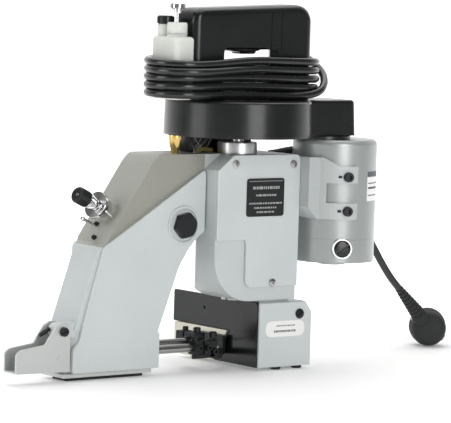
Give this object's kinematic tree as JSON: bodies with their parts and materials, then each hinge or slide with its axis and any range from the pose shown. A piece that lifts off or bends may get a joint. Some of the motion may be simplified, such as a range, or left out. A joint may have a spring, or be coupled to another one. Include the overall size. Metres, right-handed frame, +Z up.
{
  "type": "bag closer sewing machine",
  "caption": "Hand-held electric bag closing sewing machine with a top handle, belt cover, side motor, needle arm, oil bottle and wound mains cord.",
  "frame": {"origin": "on the resting plane, under the middle of the lower housing's foot pad", "axes": "+Z up; +X from the needle arm towards the motor; -Y towards the side with the cover plates"},
  "size_m": [0.5773, 0.179, 0.345],
  "materials": {
    "painted_casting": "satin",
    "arm_paint": "satin",
    "cover_plate": "satin",
    "black_oxide": "satin",
    "rubber": "matte",
    "steel_fastener": "satin",
    "black_anodised": "satin",
    "black_plastic": "gloss",
    "polished_steel": "polished",
    "turned_aluminium": "turned",
    "bottle_plastic": "translucent satin",
    "brass": "polished",
    "clear_tube": "gloss",
    "motor_paint": "satin",
    "lamination_steel": "matte",
    "chrome_steel": "polished",
    "cord_sheath": "semi-gloss",
    "copper_winding": "satin",
    "pressed_steel": "satin"
  },
  "bodies": {
    "machine": {"body_casting": "painted_casting", "arm_casting": "arm_paint", "arm_front_cover": "cover_plate", "arm_pivot_bolt": "black_oxide", "rubber_feet": "rubber", "body_front_cover": "cover_plate", "cover_screws": "steel_fastener", "nameplate": "black_anodised", "lower_housing": "painted_casting", "lower_front_cover": "cover_plate", "throat_side_cover": "black_plastic", "throat_plate": "polished_steel", "bearing_cap": "turned_aluminium", "main_bearings": "polished_steel", "cover_bracket": "black_plastic", "belt_cover_base": "black_plastic", "belt_cover": "black_plastic", "timing_belt": "rubber", "handle_front_shell": "black_plastic", "handle_rear_shell": "black_plastic", "arm_base_plate": "pressed_steel", "oil_bottle": "bottle_plastic", "bottle_bracket": "black_oxide", "oil_fitting": "brass", "oil_tubes": "clear_tube", "motor_housing": "motor_paint", "motor_end_cap": "motor_paint", "motor_stator": "lamination_steel", "brush_caps": "black_plastic", "motor_clamp": "cover_plate", "clamp_screws": "black_oxide", "motor_lead": "rubber", "bar_bushes": "polished_steel", "tension_post": "chrome_steel", "thread_hook": "chrome_steel", "lever_pivot_screw": "black_oxide", "cord_gland": "rubber", "cord_lead": "cord_sheath", "cord_winding": "cord_sheath", "cord_tail": "cord_sheath", "plug_body": "rubber", "plug_contacts": "chrome_steel"},
    "drive_shaft": {"main_shaft": "polished_steel", "drive_pulley": "black_anodised"},
    "motor_rotor": {"motor_armature": "copper_winding", "motor_pulley": "turned_aluminium"},
    "needle_rocker": {"needle_lever": "black_oxide"},
    "needle_carrier": {"needle_bar": "polished_steel", "needle_clamp": "black_oxide", "needle": "chrome_steel"},
    "presser_carrier": {"presser_bar": "polished_steel", "presser_foot": "black_oxide"},
    "lifter": {"lifter_lever": "pressed_steel"},
    "looper_arm": {"looper": "polished_steel"},
    "feeder": {"feed_dog": "polished_steel"},
    "trigger_key": {"trigger": "black_plastic"},
    "oil_pump": {"pump_plunger": "chrome_steel"},
    "tension_nut": {"tension_knob": "black_anodised"},
    "tension_stack": {"tension_discs": "chrome_steel"},
    "bottle_cap": {"filler_cap": "black_plastic"}
  },
  "joints": [
    {"name": "shaft_spin", "type": "hinge", "parent": "machine", "child": "drive_shaft", "pos_m": [-0.045, 0, 0.237], "axis": [0, 0, 1], "continuous": true},
    {"name": "motor_spin", "type": "hinge", "parent": "machine", "child": "motor_rotor", "pos_m": [0.063, -0.014, 0.237], "axis": [0, 0, 1], "continuous": true},
    {"name": "needle_rock", "type": "hinge", "parent": "machine", "child": "needle_rocker", "pos_m": [-0.111, 0.009, 0.1395], "axis": [0, -1, 0], "range_deg": [0, 12]},
    {"name": "needle_slide", "type": "slide", "parent": "machine", "child": "needle_carrier", "axis": [1, 0, 0], "range_m": [0, 0.0222]},
    {"name": "looper_swing", "type": "hinge", "parent": "machine", "child": "looper_arm", "pos_m": [-0.009, 0.02, 0.063], "axis": [0, 0, 1], "range_deg": [0, 12.2]},
    {"name": "feed_slide", "type": "slide", "parent": "machine", "child": "feeder", "axis": [0, 1, 0], "range_m": [0, 0.0045]},
    {"name": "lifter_lift", "type": "hinge", "parent": "machine", "child": "lifter", "pos_m": [-0.244, 0.002, 0.047], "axis": [0, 1, 0], "range_deg": [0, 18], "stiffness_Nm_per_rad": 0.3, "springref_deg": -20.05},
    {"name": "presser_slide", "type": "slide", "parent": "machine", "child": "presser_carrier", "axis": [-1, 0, 0], "range_m": [0, 0.0078]},
    {"name": "trigger_press", "type": "slide", "parent": "machine", "child": "trigger_key", "axis": [0, 0, 1], "range_m": [0, 0.004], "stiffness_N_per_m": 600, "springref_m": -0.003},
    {"name": "pump_press", "type": "slide", "parent": "machine", "child": "oil_pump", "axis": [0, 0, -1], "range_m": [0, 0.008], "stiffness_N_per_m": 100, "springref_m": -0.01},
    {"name": "tension_turn", "type": "hinge", "parent": "machine", "child": "tension_nut", "pos_m": [-0.1784, 0.02, 0.152], "axis": [-0.9065, -0.1598, 0.3907], "continuous": true},
    {"name": "disc_turn", "type": "hinge", "parent": "machine", "child": "tension_stack", "pos_m": [-0.1784, 0.02, 0.152], "axis": [-0.9065, -0.1598, 0.3907], "continuous": true},
    {"name": "cap_turn", "type": "hinge", "parent": "machine", "child": "bottle_cap", "pos_m": [-0.1235, 0.0125, 0.328], "axis": [0, 0, 1], "continuous": true}
  ],
  "couplings": [
    {"joint": "motor_spin", "follows": "shaft_spin", "ratio": 5.3333},
    {"joint": "needle_slide", "follows": "needle_rock", "m_per_rad": 0.105},
    {"joint": "looper_swing", "follows": "needle_rock", "ratio": 1},
    {"joint": "feed_slide", "follows": "needle_rock", "m_per_rad": 0.02},
    {"joint": "presser_slide", "follows": "lifter_lift", "m_per_rad": 0.0245}
  ]
}
